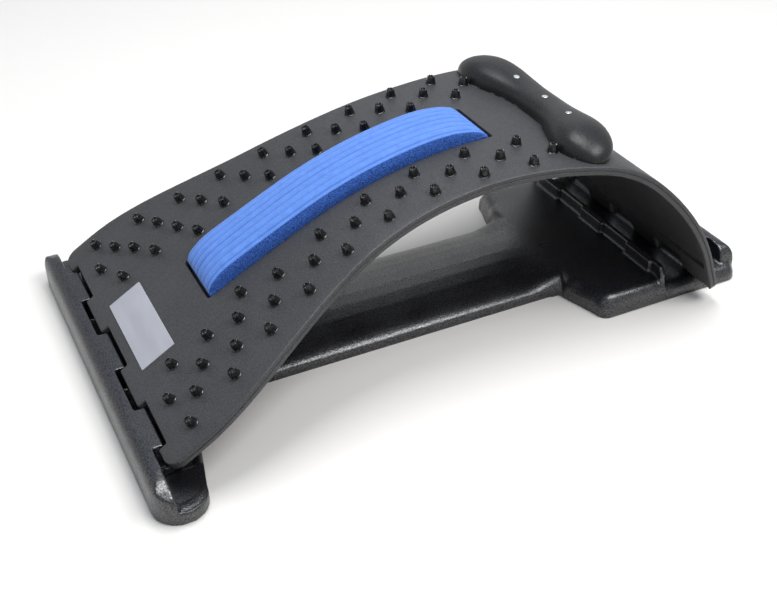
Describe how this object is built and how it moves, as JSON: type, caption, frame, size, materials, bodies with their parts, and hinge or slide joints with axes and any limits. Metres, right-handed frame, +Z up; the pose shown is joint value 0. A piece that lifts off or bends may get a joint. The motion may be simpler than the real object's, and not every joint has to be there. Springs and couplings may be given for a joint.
{
  "type": "arched back stretcher",
  "caption": "Adjustable arched lumbar back stretcher: curved board with massage nubs, foam pad and magnet hump, hooked into a low base with stop walls.",
  "frame": {"origin": "centre of the base's footprint on the ground", "axes": "+X along the object, from the hooked end of the board to the stop walls; +Y across it; +Z up"},
  "size_m": [0.38, 0.238, 0.1167],
  "materials": {
    "base_plastic": "textured",
    "board_plastic": "fine matte",
    "hump_plastic": "matte",
    "nub_rubber": "gloss",
    "pad_foam": "ribbed foam",
    "label_silver": "satin",
    "magnet_metal": "satin"
  },
  "bodies": {
    "base": {"base_shell": "base_plastic"},
    "board": {"arch_board": "board_plastic", "foam_pad": "pad_foam", "hump": "hump_plastic", "magnet_near": "magnet_metal", "magnet_centre": "magnet_metal", "magnet_far": "magnet_metal", "label_plate": "label_silver", "nub_strip_near_1": "nub_rubber", "nub_strip_near_2": "nub_rubber", "nub_strip_near_3": "nub_rubber", "nub_strip_near_4": "nub_rubber", "nub_strip_near_5": "nub_rubber", "nub_strip_near_6": "nub_rubber", "nub_strip_near_7": "nub_rubber", "nub_strip_near_8": "nub_rubber", "nub_strip_near_9": "nub_rubber", "nub_strip_near_10": "nub_rubber", "nub_strip_far_1": "nub_rubber", "nub_strip_far_2": "nub_rubber", "nub_strip_far_3": "nub_rubber", "nub_strip_far_4": "nub_rubber", "nub_strip_far_5": "nub_rubber", "nub_strip_far_6": "nub_rubber", "nub_strip_far_7": "nub_rubber", "nub_strip_far_8": "nub_rubber", "nub_strip_far_9": "nub_rubber", "nub_strip_far_10": "nub_rubber"}
  },
  "joints": [
    {"name": "board_tilt", "type": "hinge", "parent": "base", "child": "board", "pos_m": [-0.1736, 0, 0.023], "axis": [0, -1, 0], "range_deg": [0, 35]}
  ]
}
